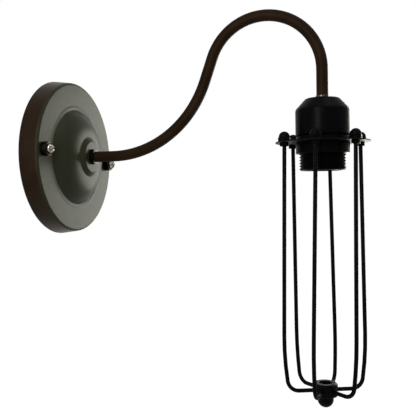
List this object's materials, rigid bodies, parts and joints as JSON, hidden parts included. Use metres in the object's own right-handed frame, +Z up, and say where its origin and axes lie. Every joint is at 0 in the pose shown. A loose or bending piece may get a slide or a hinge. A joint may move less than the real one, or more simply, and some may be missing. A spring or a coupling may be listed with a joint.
{
  "type": "cage wall light",
  "caption": "Wall light with a round domed wall plate, a gooseneck tube arm and a threaded lampholder that carries a long cage of bent rods round the lamp.",
  "frame": {"origin": "centre of the wall plate's back, on the wall", "axes": "+Z up, -Y away from the wall along the arm's foot, +X to the right of someone facing the wall"},
  "size_m": [0.145, 0.2902, 0.3439],
  "materials": {
    "bronze_black_enamel": "satin enamel, warm near-black",
    "black_enamel": "satin enamel, neutral black",
    "black_phenolic": "moulded, satin",
    "nickel_brass": "turned and polished, nickel-washed",
    "blackened_steel": "blackened",
    "bright_zinc": "bright zinc plate",
    "zinc_steel": "zinc plate",
    "steatite": "unglazed white steatite",
    "plain_brass": "pressed and turned",
    "natural_polyamide": "moulded, translucent white",
    "grey_pvc": "cable sheath",
    "core_pvc": "core insulation",
    "earth_pvc": "green and yellow core insulation"
  },
  "bodies": {
    "fixture": {"backplate": "bronze_black_enamel", "wall_strap": "zinc_steel", "screw_collars": "black_enamel", "side_screws": "nickel_brass", "earth_screw": "plain_brass", "earth_lug": "bright_zinc", "arm_tube": "bronze_black_enamel", "outer_locknut": "blackened_steel", "inner_washer": "zinc_steel", "inner_locknut": "zinc_steel", "neck_ring": "bright_zinc", "holder_cap": "black_phenolic", "holder_skirt": "black_phenolic", "holder_core": "steatite", "screw_shell": "plain_brass", "contact_rivets": "plain_brass", "contact_pad": "plain_brass", "holder_terminals": "plain_brass", "holder_terminal_screws": "zinc_steel", "arm_lead": "grey_pvc", "plate_cores": "core_pvc", "earth_core": "earth_pvc", "lamp_cores": "core_pvc", "terminal_block": "natural_polyamide", "block_sleeves": "plain_brass", "block_screws": "zinc_steel", "block_fixings": "zinc_steel"},
    "cage": {"cage_disc": "black_enamel", "cage_rod_1": "black_enamel", "cage_rod_2": "black_enamel", "cage_rod_3": "black_enamel", "cage_rod_4": "black_enamel", "cage_rod_5": "black_enamel", "cage_rod_6": "black_enamel", "cage_top_nuts": "black_enamel", "cage_under_nuts": "black_enamel", "cage_hub": "black_enamel", "hub_screw": "black_enamel", "hub_nut": "black_enamel"},
    "ring": {"shade_ring": "black_phenolic"},
    "leaf": {"centre_contact": "plain_brass"}
  },
  "joints": [
    {"name": "cage_drop", "type": "slide", "parent": "fixture", "child": "cage", "axis": [0, 0, 1], "range_m": [-0.0138, 0]},
    {"name": "ring_turn", "type": "hinge", "parent": "cage", "child": "ring", "pos_m": [0, -0.25, 0], "axis": [0, 0, 1], "range_deg": [-2000, 0]},
    {"name": "leaf_press", "type": "hinge", "parent": "fixture", "child": "leaf", "pos_m": [0.0052, -0.25, 0.00865], "axis": [0, 1, 0], "range_deg": [0, 8], "stiffness_Nm_per_rad": 0.17}
  ],
  "couplings": [
    {"joint": "ring_turn", "follows": "cage_drop", "rad_per_m": 2513.3}
  ]
}
